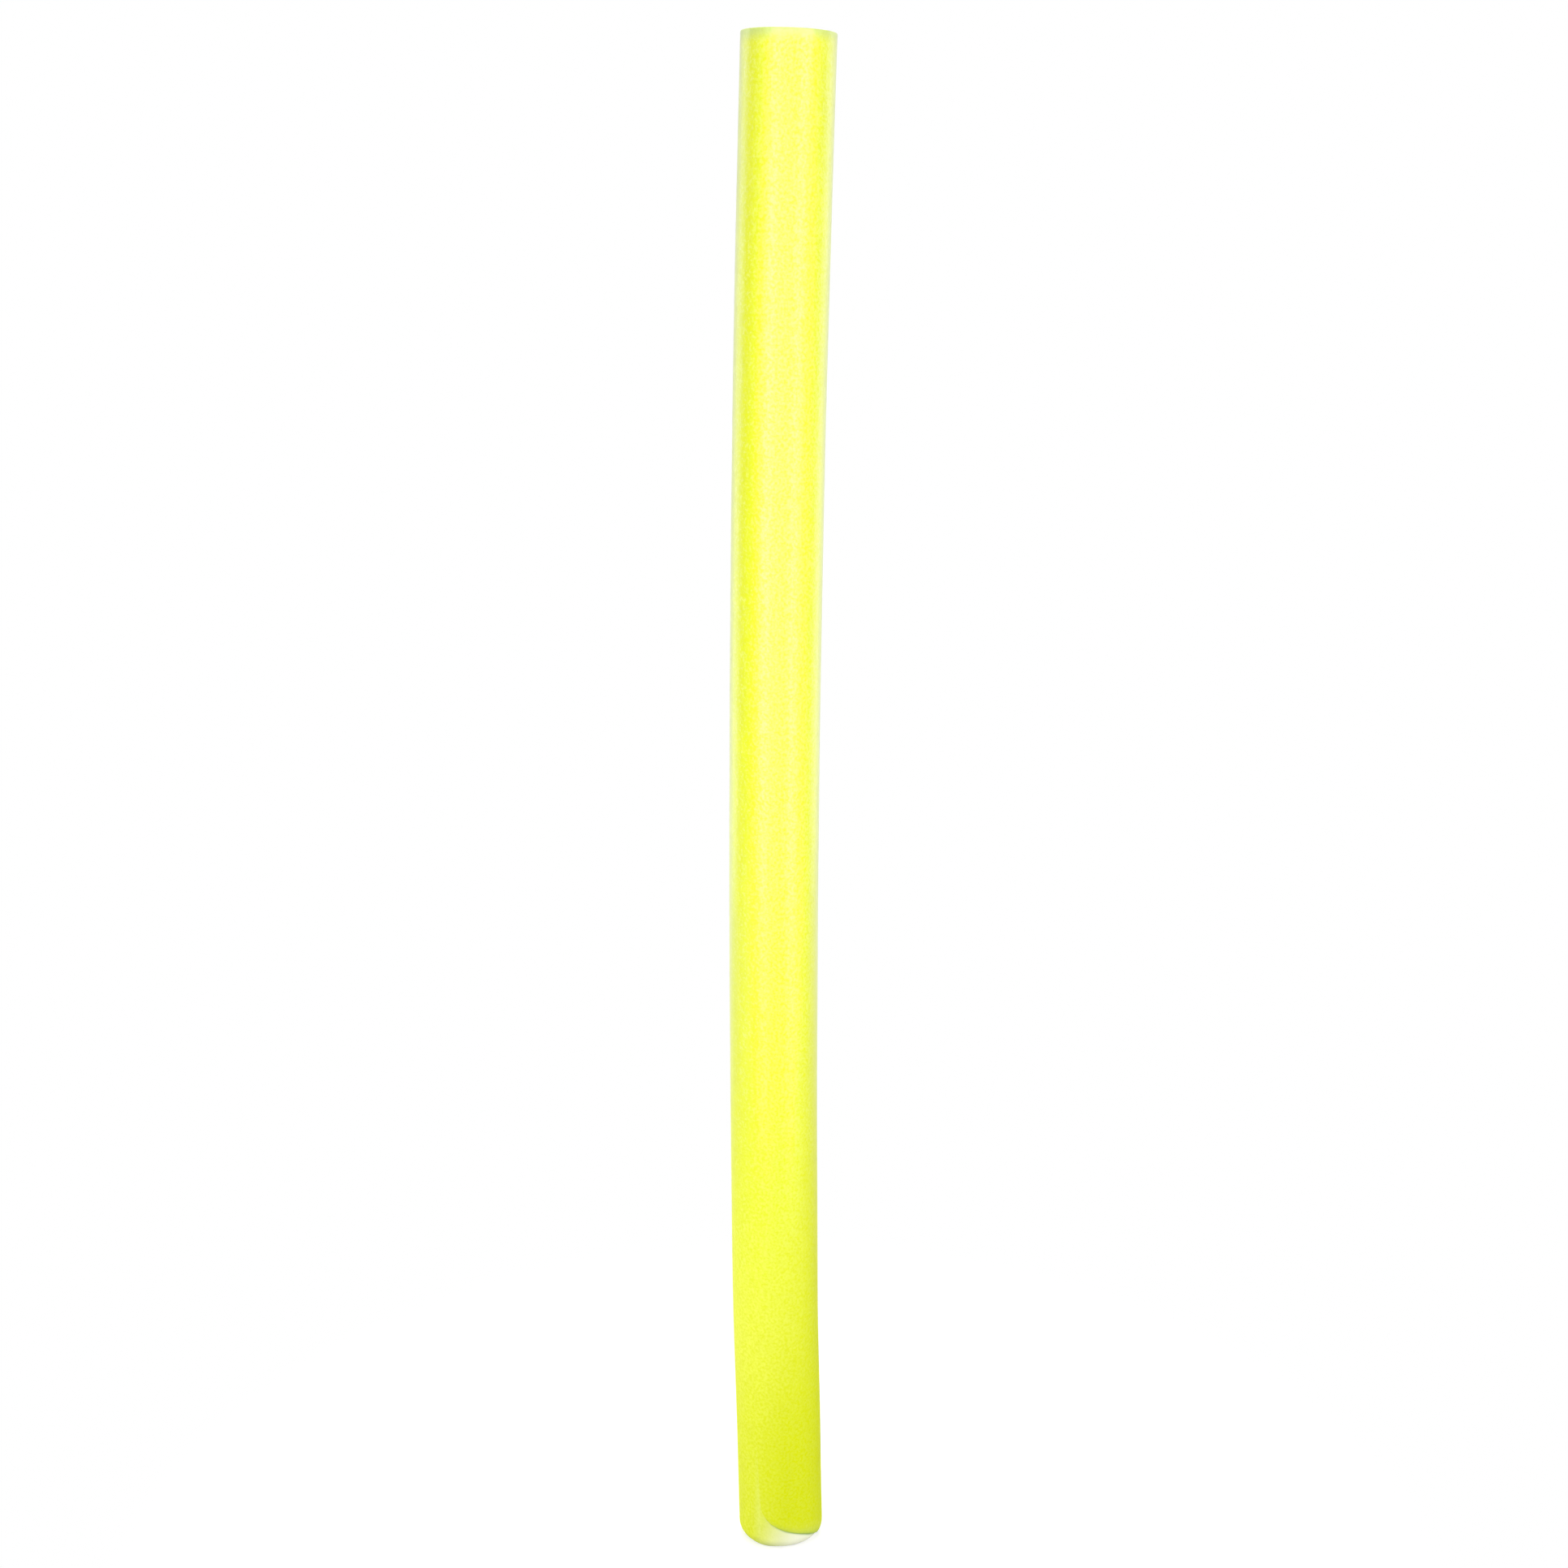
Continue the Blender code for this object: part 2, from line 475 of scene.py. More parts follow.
def skin_outline():
    bm, point = start_outline(FOOT_FLAT_RADIUS, 0)
    first = point
    point = arc_to(bm, point, FOOT_FLAT_RADIUS, FOOT_ROUNDING, degrees=90, parts=20)
    point = run_to(bm, point, RADIUS, OUTLINE_BASE + REFERENCE_WAY + EDGE_RINGS[-1], parts=9)
    for ring in reversed(EDGE_RINGS[:-1]):
        point = run_to(bm, point, RADIUS, OUTLINE_BASE + REFERENCE_WAY + ring)
    point = run_to(bm, point, RADIUS, OUTLINE_BASE + BLEND_WAY, parts=80)
    point = run_to(bm, point, RADIUS, LENGTH - TOP_BAND, parts=215)
    point = run_to(bm, point, RADIUS, LENGTH - TOP_ROUNDING, parts=8)
    point = arc_to(bm, point, RADIUS - TOP_ROUNDING, LENGTH - TOP_ROUNDING, degrees=90, parts=4)
    point = run_to(bm, point, SKIN_INNER_RADIUS, LENGTH)
    point = run_to(bm, point, SKIN_INNER_RADIUS, OUTLINE_BASE + BLEND_WAY, parts=14)
    point = run_to(bm, point, SKIN_INNER_RADIUS, FOOT_ROUNDING, parts=10)
    point = arc_to(bm, point, FOOT_FLAT_RADIUS, FOOT_ROUNDING, degrees=-90, parts=8)
    bm.edges.new((point, first))
    return bm


skin_mesh = skin_outline()
print("the skin's outline has", len(skin_mesh.verts), "points")

# %% [markdown]
# ## Small helpers for materials
#
# Materials are built from nodes. These helpers keep the later cells short: each adds one node, and takes
# either a socket to link or a plain value to set.

# %% Node helpers
def add(tree, kind, **settings):
    node = tree.nodes.new(kind)
    for key, value in settings.items():
        setattr(node, key, value)
    return node


def plug(tree, value, socket):
    """Links a socket to an input, or sets the input to a plain value."""
    if isinstance(value, bpy.types.NodeSocket):
        tree.links.new(value, socket)
    else:
        socket.default_value = value


def math_node(tree, operation, first, second):
    node = add(tree, "ShaderNodeMath", operation=operation)
    plug(tree, first, node.inputs[0])
    plug(tree, second, node.inputs[1])
    return node.outputs[0]


def mixed(tree, factor, first, second):
    """Mixes two colours, each a socket or four numbers, by a socket or a number."""
    node = add(tree, "ShaderNodeMix", data_type="RGBA")
    for number, value in ((0, factor), (6, first), (7, second)):
        plug(tree, value, node.inputs[number])
    return node.outputs[2]


def ranged(tree, value, low, high, to_low, to_high, smooth=False):
    """Maps low to to_low and high to to_high, and holds the ends."""
    node = add(tree, "ShaderNodeMapRange", interpolation_type="SMOOTHSTEP" if smooth else "LINEAR")
    for socket, number in zip(node.inputs[:5], (value, low, high, to_low, to_high)):
        plug(tree, number, socket)
    return node.outputs[0]


# %% [markdown]
# ## Groups and textures
#
# Effects that several finishes share are node groups with named inputs and outputs, so each is built once
# and placed where it is wanted. All textures use Object coordinates: they are in metres, and they stay in
# place on the foam.

# %% Helpers for groups and textures
def new_group(name, inputs, outputs):
    group = bpy.data.node_groups.new(name, "ShaderNodeTree")
    for label, value in inputs.items():
        socket = group.interface.new_socket(name=label, in_out="INPUT", socket_type="NodeSocketFloat")
        socket.default_value = value
    for label in outputs:
        group.interface.new_socket(name=label, in_out="OUTPUT", socket_type="NodeSocketFloat")
    return group, add(group, "NodeGroupInput"), add(group, "NodeGroupOutput")


def placed(tree, group, **values):
    """Places a group, and sets its inputs by name."""
    node = add(tree, "ShaderNodeGroup", node_tree=group)
    for label, value in values.items():
        node.inputs[label.replace("_", " ")].default_value = value
    return node.outputs


def on_object(tree):
    return add(tree, "ShaderNodeTexCoord").outputs["Object"]


def noise_node(tree, places, scale, detail):
    node = add(tree, "ShaderNodeTexNoise")
    tree.links.new(places, node.inputs["Vector"])
    tree.links.new(scale, node.inputs["Scale"])
    node.inputs["Detail"].default_value = detail
    return node


# %% [markdown]
# ## Foam cells, as a shared effect
#
# Closed-cell foam is full of bubbles of about a millimetre. Under the skin they show as a fine grain, and
# on a cut they are open cups. A Voronoi texture gives the bubbles, and a noise breaks up their order. The
# group puts out a height for bump, a speckle for colour, and the walls between the cups, all from 0 to 1,
# and each finish sets its own cell size.

# %% The foam_cells group
DOME_SHARE = 0.6
GRIT_FINENESS = 0.8
SPECKLE_FINENESS = 0.9
SPECKLE_RANGE = (0.34, 0.66)
WALL_WIDTH = 0.16


def bubbles(tree, per_metre, feature):
    node = add(tree, "ShaderNodeTexVoronoi", feature=feature)
    tree.links.new(on_object(tree), node.inputs["Vector"])
    tree.links.new(per_metre, node.inputs["Scale"])
    return node.outputs["Distance"]


def build_foam_cells():
    group, inside, outside = new_group(
        "foam_cells", {"cell size": 0.0015, "raggedness": 0.5}, ("height", "speckle", "walls")
    )
    per_metre = math_node(group, "DIVIDE", 1.0, inside.outputs["cell size"])

    grit_scale = math_node(group, "MULTIPLY", per_metre, GRIT_FINENESS)
    grit = noise_node(group, on_object(group), grit_scale, detail=3.0)
    grit.inputs["Roughness"].default_value = 0.6
    dome = math_node(group, "SUBTRACT", 1.0, bubbles(group, per_metre, "F1"))
    rough = math_node(group, "MULTIPLY", grit.outputs["Fac"], inside.outputs["raggedness"])
    height = math_node(group, "ADD", math_node(group, "MULTIPLY", dome, DOME_SHARE), rough)
    group.links.new(height, outside.inputs["height"])

    speckle_scale = math_node(group, "MULTIPLY", per_metre, SPECKLE_FINENESS)
    patches = noise_node(group, on_object(group), speckle_scale, detail=2.0).outputs["Fac"]
    group.links.new(ranged(group, patches, *SPECKLE_RANGE, 0.0, 1.0), outside.inputs["speckle"])

    edges = bubbles(group, per_metre, "DISTANCE_TO_EDGE")
    group.links.new(ranged(group, edges, 0.0, WALL_WIDTH, 1.0, 0.0), outside.inputs["walls"])
    return group


foam_cells = build_foam_cells()
print("foam_cells has", len(foam_cells.nodes), "nodes")

# %% [markdown]
# ## Drift and die lines, as shared effects
#
# Two weaker effects keep large surfaces alive. Drift is a slow change of tone over centimetres, from
# uneven pigment. Die lines run along the foam, where small flaws of the extruder's tool drag through it.
# Stretching a noise along Z makes it run in such lines.

# %% The drift and die_lines groups
CLOUD_RANGE = (0.3, 0.7)
LINE_STRETCH = (1.0, 1.0, 0.02)


def build_clouds(name, size_label, size, output_label, stretch=None):
    """A noise of a size that can be set, on Object coordinates that may be stretched."""
    group, inside, outside = new_group(name, {size_label: size}, (output_label,))
    places = on_object(group)
    if stretch is not None:
        mapping = add(group, "ShaderNodeMapping")
        mapping.inputs["Scale"].default_value = stretch
        group.links.new(places, mapping.inputs["Vector"])
        places = mapping.outputs["Vector"]
    per_metre = math_node(group, "DIVIDE", 1.0, inside.outputs[size_label])
    cloud = noise_node(group, places, per_metre, detail=2.0).outputs["Fac"]
    group.links.new(ranged(group, cloud, *CLOUD_RANGE, 0.0, 1.0), outside.inputs[output_label])
    return group


drift = build_clouds("drift", "patch size", 0.05, "tone")
die_lines = build_clouds("die_lines", "spacing", 0.004, "line", LINE_STRETCH)
print("groups:", [group.name for group in bpy.data.node_groups])

# %% [markdown]
# ## What the skin's finish depends on
#
# The skin changes along its height and across its width, with the blade's marks, and with the slant at
# which it is seen. All of these are gathered once, as sockets under plain names, so that the cells for
# colour, gloss and grain can each stay short.

# %% Sockets for the skin
def new_material(name):
    """A new material with its tree and its shader."""
    material = bpy.data.materials.new(name)
    material.use_nodes = True
    return material, material.node_tree, material.node_tree.nodes["Principled BSDF"]


def skin_sockets(tree):
    grain = placed(tree, foam_cells, cell_size=0.0019, raggedness=0.8)
    places = add(tree, "ShaderNodeSeparateXYZ")
    tree.links.new(on_object(tree), places.inputs[0])
    sockets = {
        "grain": grain["height"],
        "speckle": grain["speckle"],
        "tone": placed(tree, drift, patch_size=0.030)["tone"],
        "line": placed(tree, die_lines, spacing=0.0035)["line"],
        "across": places.outputs["X"],
        "height": places.outputs["Z"],
        "slant": add(tree, "ShaderNodeLayerWeight").outputs["Facing"],
    }
    for name in ("bared", "crease"):
        sockets[name] = add(tree, "ShaderNodeAttribute", attribute_name=name).outputs["Fac"]
    return sockets


skin_look, skin_tree, skin_shader = new_material("skin_foam_look")
skin_at = skin_sockets(skin_tree)
print("the skin's finish depends on", ", ".join(skin_at))

# %% [markdown]
# ## The pigment of the skin
#
# The pigment is a fluorescent lemon yellow. Pale and deep specks of a millimetre or two mottle it, because
# the bubbles lie at different depths under the skin. On the left flank fewer specks are pale: painted shade
# for the deeper band that the light leaves there. Towards the foot the skin is painted darker and greener,
# as shade for the dimmer light there, and on its left it carries a painted pale sheen.

# %% Fresh pigment, painted shade and painted sheen
SKIN_DEEP = (0.81, 0.860, 0.000, 1.0)
SKIN_PALE = (0.85, 0.900, 0.100, 1.0)
SHADED_FOOT_DEEP = (0.69, 0.764, 0.000, 1.0)
SHADED_FOOT_PALE = (0.71, 0.784, 0.034, 1.0)
PAINTED_LEFT_SHEEN = (0.86, 0.905, 0.100, 1.0)
WEAR_AND_SHADE_HEIGHTS = (0.06, 0.62)
SHADED_LEFT_FLANK = (-0.012, -0.026)
LEFT_FLANK_SHADE_POWER = 4.0
TONE_SHARE = 0.25
SHEEN_EDGE = 0.004
FOOT_SHEEN = 0.42
FOOT_SHEEN_FADES = (0.18, 0.40)
WALL_SHEEN = 0.40
WALL_SHEEN_GROWS = (0.07, 0.22)
SHEEN_SPOTS = (0.6, 1.4)


def painted_sheen_share(tree, at):
    """How much painted pale sheen the low skin gets: at the foot only on its left, and higher up more
    widely.
    """
    foot = ranged(tree, at["across"], SHEEN_EDGE, -RADIUS, 0.0, FOOT_SHEEN)
    low = ranged(tree, at["height"], *FOOT_SHEEN_FADES, 1.0, 0.0, smooth=True)
    foot = math_node(tree, "MULTIPLY", foot, low)
    wall = ranged(tree, at["height"], *WALL_SHEEN_GROWS, 0.0, WALL_SHEEN, smooth=True)
    left = ranged(tree, at["across"], SHEEN_EDGE, RADIUS, 1.0, 0.0)
    wall = math_node(tree, "MULTIPLY", wall, left)
    spots = ranged(tree, at["speckle"], 0.0, 1.0, *SHEEN_SPOTS)
    return math_node(tree, "MULTIPLY", math_node(tree, "ADD", foot, wall), spots)


def pigment(tree, at):
    # Fewer pale specks on the left flank: painted shade for the deeper band that the light leaves there.
    sparser = ranged(tree, at["across"], *SHADED_LEFT_FLANK, 1.0, LEFT_FLANK_SHADE_POWER, smooth=True)
    paleness = math_node(tree, "POWER", at["speckle"], sparser)
    fresh = mixed(tree, paleness, SKIN_DEEP, SKIN_PALE)
    # worn here is the pigment painted darker towards the foot, as shade for the dimmer light there.
    worn = mixed(tree, at["speckle"], SHADED_FOOT_DEEP, SHADED_FOOT_PALE)
    # Painted pale sheen on the left of the low skin.
    worn = mixed(tree, painted_sheen_share(tree, at), worn, PAINTED_LEFT_SHEEN)
    low = ranged(tree, at["height"], *WEAR_AND_SHADE_HEIGHTS, 1.0, 0.0, smooth=True)
    drifting = math_node(tree, "MULTIPLY", at["tone"], TONE_SHARE)
    return mixed(tree, math_node(tree, "MAXIMUM", drifting, low), fresh, worn)


skin_colour = pigment(skin_tree, skin_at)
# Below this height the pigment is painted darker, as shade.
print("the pigment is worn below", WEAR_AND_SHADE_HEIGHTS[1], "m")

# %% [markdown]
# ## Painted sheen and shade, and the blade's marks
#
# High up, the sides get a painted pale sheen where they are seen at a slant, as from light scattered in the
# foam. The top ten millimetres of the skin go over to a paler, greener tone. The foot's rim gets a painted
# green shade. Where the blade bared the foam the colour goes over to cream, and the crease under the
# skin's edge gets a painted dull green shade.

# %% The skin's whole colour
PAINTED_SIDE_SHEEN = (0.70, 0.80, 0.52, 1.0)
PAINTED_SIDE_SHEEN_SLANTS = (0.36, 0.85)
PAINTED_SIDE_SHEEN_SHARE = 0.50
PAINTED_SIDE_SHEEN_HEIGHTS = (0.26, 0.56)
TOP_BAND_TONE = (0.61, 0.73, 0.20, 1.0)
TOP_BAND_TONE_SHARE = 0.9
TOP_BAND_TONE_REACH = 0.010
PAINTED_FOOT_SHADE = (0.52, 0.66, 0.13, 1.0)
PAINTED_FOOT_SHADE_SHARE = 0.55
BARED_CREAM = (0.95, 0.965, 0.76, 1.0)
PAINTED_CREASE_SHADE = (0.32, 0.48, 0.12, 1.0)


def marked(tree, at, colour):
    # Painted pale sheen where the sides slant away, high up only.
    slanting = ranged(tree, at["slant"], *PAINTED_SIDE_SHEEN_SLANTS, 0.0, PAINTED_SIDE_SHEEN_SHARE)
    high_up = ranged(tree, at["height"], *PAINTED_SIDE_SHEEN_HEIGHTS, 0.0, 1.0, smooth=True)
    # The top ten millimetres of the skin go over to a paler, greener tone.
    end = ranged(tree, at["height"], LENGTH - TOP_BAND_TONE_REACH, LENGTH, 0.0, TOP_BAND_TONE_SHARE, smooth=True)
    # Painted shade on the foot's rounding, deepest where it meets the floor.
    rim = ranged(tree, at["height"], 0.0, FOOT_ROUNDING, PAINTED_FOOT_SHADE_SHARE, 0.0, smooth=True)
    colour = mixed(tree, math_node(tree, "MULTIPLY", slanting, high_up), colour, PAINTED_SIDE_SHEEN)
    colour = mixed(tree, end, colour, TOP_BAND_TONE)
    colour = mixed(tree, rim, colour, PAINTED_FOOT_SHADE)
    colour = mixed(tree, at["bared"], colour, BARED_CREAM)
    return mixed(tree, at["crease"], colour, PAINTED_CREASE_SHADE)


skin_colour = marked(skin_tree, skin_at, skin_colour)
skin_tree.links.new(skin_colour, skin_shader.inputs["Base Color"])
print("colour nodes so far:", len(skin_tree.nodes))

# %% [markdown]
# ## The gloss of the skin
#
# The photograph's highlights fade on the way down. So the gloss is a coat that is whole at the top and
# worn off towards the foot, and the blade took it away altogether. The pale specks break it up a little,
# except at the sides, where everything shines. Under the coat the skin is rather matt.

# %% Coat and roughness
GLOSS_HEIGHTS = (0.10, WEAR_AND_SHADE_HEIGHTS[1])
WORN_GLOSS = 0.06
DULL_SPECK = 0.50
GLOSSY_SLANTS = (0.35, 0.75)
SKIN_ROUGHNESS = (0.48, 0.58)
WORN_ROUGHNESS = 0.80


def skin_gloss(tree, at, whole):
    worn = ranged(tree, at["height"], *GLOSS_HEIGHTS, WORN_GLOSS, 1.0, smooth=True)
    specks = ranged(tree, at["speckle"], 0.0, 1.0, DULL_SPECK, 1.0)
    specks = math_node(tree, "MAXIMUM", specks, ranged(tree, at["slant"], *GLOSSY_SLANTS, 0.0, 1.0))
    return math_node(tree, "MULTIPLY", math_node(tree, "MULTIPLY", worn, specks), whole)


def skin_roughness(tree, at):
    fine = ranged(tree, at["speckle"], 0.0, 1.0, *SKIN_ROUGHNESS)
    worn = ranged(tree, at["height"], *WEAR_AND_SHADE_HEIGHTS, WORN_ROUGHNESS, 0.0, smooth=True)
    return math_node(tree, "MAXIMUM", fine, worn)


skin_whole = math_node(skin_tree, "SUBTRACT", 1.0, skin_at["bared"])
skin_tree.links.new(skin_gloss(skin_tree, skin_at, skin_whole), skin_shader.inputs["Coat Weight"])
skin_tree.links.new(skin_roughness(skin_tree, skin_at), skin_shader.inputs["Roughness"])
skin_shader.inputs["Coat Roughness"].default_value = 0.35
skin_shader.inputs["Coat IOR"].default_value = 1.60
skin_shader.inputs["Specular IOR Level"].default_value = 0.05
print("the gloss is whole above", GLOSS_HEIGHTS[1], "m")

# %% [markdown]
# ## The grain of the skin
#
# Two bumps lie over each other: the cells, a third of a millimetre deep, which the blade wiped away where
# it bared the foam, and the much weaker die lines. A bump is enough here, because no grain of this size
# can be seen on the outline.

# %% Bumps
GRAIN_RELIEF = 0.00030
LINE_RELIEF = 0.00009


def bumped(tree, height, distance, strength=1.0, under=None):
    node = add(tree, "ShaderNodeBump")
    node.inputs["Distance"].default_value = distance
    tree.links.new(height, node.inputs["Height"])
    plug(tree, strength, node.inputs["Strength"])
    if under is not None:
        tree.links.new(under, node.inputs["Normal"])
    return node.outputs["Normal"]


skin_normal = bumped(skin_tree, skin_at["grain"], GRAIN_RELIEF, skin_whole)
skin_normal = bumped(skin_tree, skin_at["line"], LINE_RELIEF, 0.5, skin_normal)
skin_tree.links.new(skin_normal, skin_shader.inputs["Normal"])
print("skin_foam_look has", len(skin_tree.nodes), "nodes")

# %% [markdown]
# ## The skin, step by step
#
# The steps now run in the order in which the real thing came about. The outline is turned full round, the
# blade pares the foot, the foam comes out a little uneven, and in the end it takes its set. The skin then
# stands in for the plain model's skin.

# %% The skin piece
def finished_piece(name, bm, material):
    mesh = bpy.data.meshes.new(name)
    bm.to_mesh(mesh)
    bm.free()
    mesh.materials.append(material)
    mesh.shade_smooth()
    piece = bpy.data.objects.new(name, mesh)
    bpy.context.scene.collection.objects.link(piece)
    print(name, "has", len(mesh.polygons), "faces")
    return piece


turn_fully(skin_mesh)
pare_foot(skin_mesh)
uneven(skin_mesh)
bow(skin_mesh.verts)
noodle_skin = finished_piece("noodle_skin", skin_mesh, skin_look)
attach(noodle_skin, "root")
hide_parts("outer_skin")

# %% [markdown]
# ## The core
#
# The core shows at the two ends and down the bore. The mouths of the bore have soft corners. The hidden
# outer wall only has to follow the skin. Its outline starts at the bore's lower mouth and goes round the
# same way as the skin's, and its last point is welded to its first.

# %% The core's outline
BORE_CORNER = 0.0007
BORE_MOUTH = BORE_RADIUS + BORE_CORNER
CORE_GAP = 0.00004
CORE_RADIUS = SKIN_INNER_RADIUS - CORE_GAP
CORE_NECK = FOOT_FLAT_RADIUS - CORE_GAP
CORE_TOP_CORNER = 0.0002
CORE_LOW_WALL = 0.08


def core_outline():
    bm, point = start_outline(BORE_MOUTH, 0)
    first = point
    point = run_to(bm, point, CORE_NECK, 0, parts=24)
    point = run_to(bm, point, CORE_NECK, SKIN + CORE_GAP)
    point = arc_to(bm, point, CORE_NECK, FOOT_ROUNDING, degrees=90, parts=8)
    point = run_to(bm, point, CORE_RADIUS, CORE_LOW_WALL, parts=10)
    point = run_to(bm, point, CORE_RADIUS, LENGTH - CORE_TOP_CORNER, parts=14)
    point = run_to(bm, point, CORE_RADIUS - CORE_TOP_CORNER, LENGTH)
    point = run_to(bm, point, BORE_MOUTH, LENGTH, parts=44)
    point = arc_to(bm, point, BORE_MOUTH, LENGTH - BORE_CORNER, degrees=90, parts=4)
    point = run_to(bm, point, BORE_RADIUS, BORE_CORNER, parts=200)
    point = arc_to(bm, point, BORE_MOUTH, BORE_CORNER, degrees=90, parts=4)
    bmesh.ops.weld_verts(bm, targetmap={point: first})
    return bm


core_mesh = core_outline()
print("the core's outline has", len(core_mesh.verts), "points")

# %% [markdown]
# ## Marks of the knife and of the bore's tool
#
# At the top a wire or a saw cut the foam, so the face is flat but for faint stripes and a slow wave. The
# bore's wall set round a rod in the extruder's tool, and waves a little more. Both are shaped as real
# geometry, because light from above grazes them.

# %% Waving the cut face and the bore
KNIFE_WAVE = 0.00012
STRIPE_SPACING = 0.006
STRIPE_SLANT = 0.8
STRIPE_SHARE = 0.4
BORE_WAVE = 0.00025
BORE_STRETCH = 0.5
WAVE_SIZE = 0.012
FACE_MARGIN = 0.0005
MOUTH_MARGIN = 0.002


def knife_marks(bm):
    for vertex in bm.verts:
        across = math.hypot(vertex.co.x, vertex.co.y)
        if vertex.co.z > LENGTH - NEARLY and across < CORE_RADIUS - FACE_MARGIN:
            stripe = math.sin((vertex.co.x * STRIPE_SLANT + vertex.co.y) * math.tau / STRIPE_SPACING)
            slow = noise.noise(vertex.co / WAVE_SIZE)
            vertex.co.z += KNIFE_WAVE * (STRIPE_SHARE * stripe + slow) - KNIFE_WAVE
        if across < BORE_RADIUS + NEARLY and MOUTH_MARGIN < vertex.co.z < LENGTH - MOUTH_MARGIN:
            stretched = Vector((vertex.co.x, vertex.co.y, vertex.co.z * BORE_STRETCH))
            outward = Vector((vertex.co.x, vertex.co.y, 0)).normalized()
            vertex.co += outward * BORE_WAVE * noise.noise(stretched / WAVE_SIZE)


print("the cut face waves by", KNIFE_WAVE * 1000, "mm, and the bore by", BORE_WAVE * 1000)

# %% [markdown]
# ## The finish of the cut foam
#
# A blade opens the bubbles, so cut foam shows small cups with thin bright walls between them. It is paler
# than the skin and quite matt. The same foam_cells group gives the cups: here their floors go down, and
# the walls between them catch the light.

# %% The cut_foam_look material
CUT_FLOOR = (0.82, 0.87, 0.32, 1.0)
CUT_WALL = (0.96, 0.98, 0.66, 1.0)
CUT_TONE_SHARE = 0.4
CUT_ROUGHNESS = (0.78, 0.92)
CUP_DEPTH = 0.0004
CUP_STRENGTH = 0.8


def build_cut_look():
    material, tree, shader = new_material("cut_foam_look")
    walls = placed(tree, foam_cells, cell_size=0.0016, raggedness=0.5)["walls"]
    tone = placed(tree, drift, patch_size=0.012)["tone"]
    colour = mixed(tree, walls, CUT_FLOOR, CUT_WALL)
    colour = mixed(tree, math_node(tree, "MULTIPLY", tone, CUT_TONE_SHARE), colour, CUT_WALL)
    tree.links.new(colour, shader.inputs["Base Color"])
    tree.links.new(ranged(tree, tone, 0.0, 1.0, *CUT_ROUGHNESS), shader.inputs["Roughness"])
    tree.links.new(bumped(tree, walls, CUP_DEPTH, CUP_STRENGTH), shader.inputs["Normal"])
    shader.inputs["Specular IOR Level"].default_value = 0.25
    return material


cut_look = build_cut_look()
print(cut_look.name, "has", len(cut_look.node_tree.nodes), "nodes")

# %% [markdown]
# ## The finish of the bore
#
# The rod left the bore's wall closed, and smoother than the blade left the ends. It keeps a fine grain,
# has die lines along it, and its yellow is deeper than that of the cut face.

# %% The bore_look material
BORE_DEEP = (0.80, 0.86, 0.10, 1.0)
BORE_PALE = (0.90, 0.94, 0.34, 1.0)
BORE_ROUGHNESS = (0.5, 0.7)
BORE_GRAIN_RELIEF = 0.0003
BORE_LINE_RELIEF = 0.0002
BORE_LINE_STRENGTH = 0.6


def build_bore_look():
    material, tree, shader = new_material("bore_look")
    grain = placed(tree, foam_cells, cell_size=0.0014, raggedness=0.7)
    line = placed(tree, die_lines, spacing=0.002)["line"]
    colour = mixed(tree, grain["speckle"], BORE_DEEP, BORE_PALE)
    tree.links.new(colour, shader.inputs["Base Color"])
    tree.links.new(ranged(tree, line, 0.0, 1.0, *BORE_ROUGHNESS), shader.inputs["Roughness"])
    normal = bumped(tree, grain["height"], BORE_GRAIN_RELIEF)
    normal = bumped(tree, line, BORE_LINE_RELIEF, BORE_LINE_STRENGTH, normal)
    tree.links.new(normal, shader.inputs["Normal"])
    return material


bore_look = build_bore_look()
print(bore_look.name, "has", len(bore_look.node_tree.nodes), "nodes")

# %% [markdown]
# ## The core, step by step
#
# The core is turned, pared and bowed by the same rules as the skin, so the two still fit. Its faces down
# the bore get the second finish. The core stands in for the plain model's core.

# %% The core piece
turn_fully(core_mesh)
pare_foot(core_mesh)
knife_marks(core_mesh)
for face in core_mesh.faces:
    middle = face.calc_center_median()
    if math.hypot(middle.x, middle.y) < BORE_RADIUS + NEARLY:
        face.material_index = 1
bow(core_mesh.verts)
noodle_core = finished_piece("noodle_core", core_mesh, cut_look)
noodle_core.data.materials.append(bore_look)
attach(noodle_core, "root")
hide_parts("foam_core")

# %% [markdown]
# ## Floor and background
#
# The photograph is cut out on pure white. A white background that also lit the noodle would wash it out,
# so the camera and the reflections see white, and everything else sees a softer grey. The Light Path node
# tells the two apart. The floor and the world both need it, so it gets a helper of its own.

# %% Helpers for the stage
WHITE_LIGHT = (1.0, 1.0, 1.0, 1.0)


def ray_is(tree, *kinds):
    """1 for rays of the given kinds, and 0 for all others."""
    rays = add(tree, "ShaderNodeLightPath")
    answer = rays.outputs[kinds[0]]
    for kind in kinds[1:]:
        answer = math_node(tree, "MAXIMUM", answer, rays.outputs[kind])
    return answer


def white_glow(tree, kind, strength):
    node = add(tree, kind)
    node.inputs["Color"].default_value = WHITE_LIGHT
    node.inputs["Strength"].default_value = strength
    return node.outputs[0]


def mixed_shaders(tree, factor, first, second):
    node = add(tree, "ShaderNodeMixShader")
    for socket, value in zip(node.inputs, (factor, first, second)):
        tree.links.new(value, socket)
    return node.outputs[0]


# %% [markdown]
# ## The floor
#
# Round the noodle the floor keeps a shadow, and further out it fades to plain white. Seen from below it
# lets the camera through, so that the foot can be looked at, and it is open right under the foot, so that
# some light gets there.

# %% The floor_look material
FLOOR_COLOUR = (0.58, 0.58, 0.58, 1.0)
FLOOR_LIFT = 0.60
SHADOW_REACH = (0.10, 0.55)


